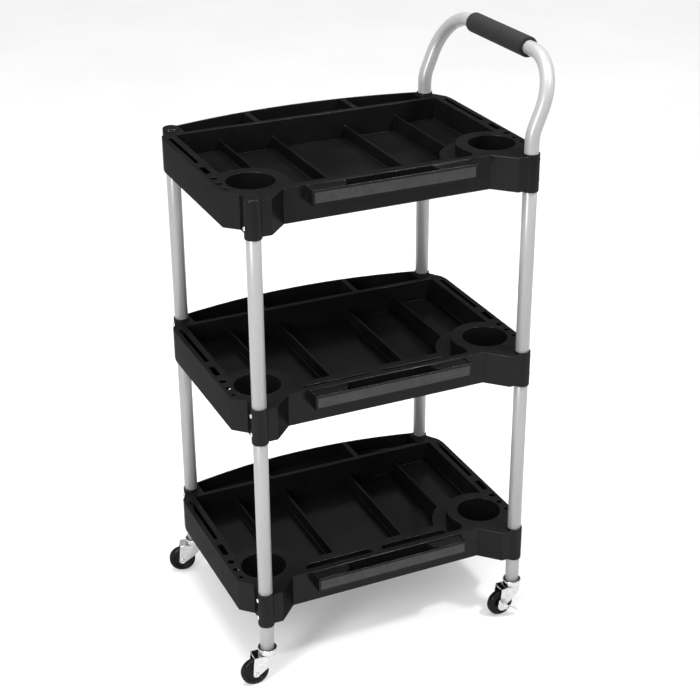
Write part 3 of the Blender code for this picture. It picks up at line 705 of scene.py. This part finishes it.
# ---- floor, light and camera ----
CAMERA_SPOT = (-1.0619, -2.3350, 1.7874)
CAMERA_TURNS = (24.461, 25.114, -0.366)
CAMERA_LENS = 79.447
CAMERA_SHIFT = (0.003, -0.04)
FLOOR_HALF = 40.0
FLOOR_DROP = 0.0004
LAMPS = {
    "overhead": ((-0.4, 0.0, 3.2), (1.3, 1.2), 72.0),
    "front": ((1.15, -1.3, 3.0), (0.5, 0.2), 72.0),
    "left": ((-2.2, -1.5, 1.6), (0.6, 1.6), 78.0),
    "right": ((2.4, -1.1, 1.5), (0.3, 1.6), 8.0),
}


def floor():
    """A wide, plain, pale floor."""
    bm = bmesh.new()
    bmesh.ops.create_grid(bm, x_segments=8, y_segments=8, size=FLOOR_HALF)
    mesh = bpy.data.meshes.new("floor")
    bm.to_mesh(mesh)
    bm.free()
    obj = bpy.data.objects.new("floor", mesh)
    bpy.context.scene.collection.objects.link(obj)
    obj.location = (PLAN.x, PLAN.y, -FLOOR_DROP)
    mesh.materials.append(floor_paper())


def soft_light(name, place, size, power):
    """A rectangular lamp, size in metres and power in watts, aimed at the middle of the cart."""
    lamp = bpy.data.lights.new(name, "AREA")
    lamp.shape = "RECTANGLE"
    lamp.size = size[0]
    lamp.size_y = size[1]
    lamp.energy = power
    obj = bpy.data.objects.new(name, lamp)
    bpy.context.scene.collection.objects.link(obj)
    obj.location = PLAN + Vector(place)
    aim = PLAN + Vector((0.0, 0.0, 0.5)) - obj.location
    obj.rotation_euler = aim.to_track_quat("-Z", "Y").to_euler()


def studio_world():
    """White room: bright at the horizon and overhead, with a darker band between."""
    world = bpy.data.worlds.new("studio")
    world.use_nodes = True
    tree = world.node_tree
    coordinates = tree.nodes.new("ShaderNodeTexCoord")
    height = tree.nodes.new("ShaderNodeSeparateXYZ")
    brighter = tree.nodes.new("ShaderNodeMath")
    brighter.operation = "MAXIMUM"
    tree.links.new(coordinates.outputs["Generated"], height.inputs[0])
    for slot, levels in enumerate(((0.12, 0.34, 1.0, 0.34), (0.45, 0.90, 0.34, 1.80))):
        ramp = tree.nodes.new("ShaderNodeMapRange")
        for key, value in zip(("From Min", "From Max", "To Min", "To Max"), levels):
            ramp.inputs[key].default_value = value
        tree.links.new(height.outputs["Z"], ramp.inputs["Value"])
        tree.links.new(ramp.outputs["Result"], brighter.inputs[slot])
    tree.links.new(brighter.outputs["Value"], tree.nodes["Background"].inputs["Strength"])
    tree.nodes["Background"].inputs["Color"].default_value = (1.0, 1.0, 1.0, 1.0)
    bpy.context.scene.world = world


def light():
    """The studio world, and the lamps with their places counted from PLAN."""
    studio_world()
    for name, (place, size, power) in LAMPS.items():
        soft_light(name, place, size, power)
    bpy.context.scene.view_settings.view_transform = "Standard"


def camera():
    """A camera at CAMERA_SPOT, turned from +Y to +X by yaw and down by pitch."""
    yaw, pitch, roll = (math.radians(turn) for turn in CAMERA_TURNS)
    ahead = Vector((math.sin(yaw) * math.cos(pitch), math.cos(yaw) * math.cos(pitch), -math.sin(pitch)))
    right = Vector((math.cos(yaw), -math.sin(yaw), 0.0))
    up = right.cross(ahead)
    side = right * math.cos(roll) + up * math.sin(roll)
    top = up * math.cos(roll) - right * math.sin(roll)
    lens = bpy.data.cameras.new("camera")
    lens.sensor_width = 36.0
    lens.lens = CAMERA_LENS
    lens.shift_x, lens.shift_y = CAMERA_SHIFT
    obj = bpy.data.objects.new("camera", lens)
    bpy.context.scene.collection.objects.link(obj)
    spot = PLAN + Vector(CAMERA_SPOT)
    basis = Matrix((side, top, -ahead)).transposed()
    obj.matrix_world = Matrix.Translation(spot) @ basis.to_4x4()
    bpy.context.scene.camera = obj


floor()
light()
camera()
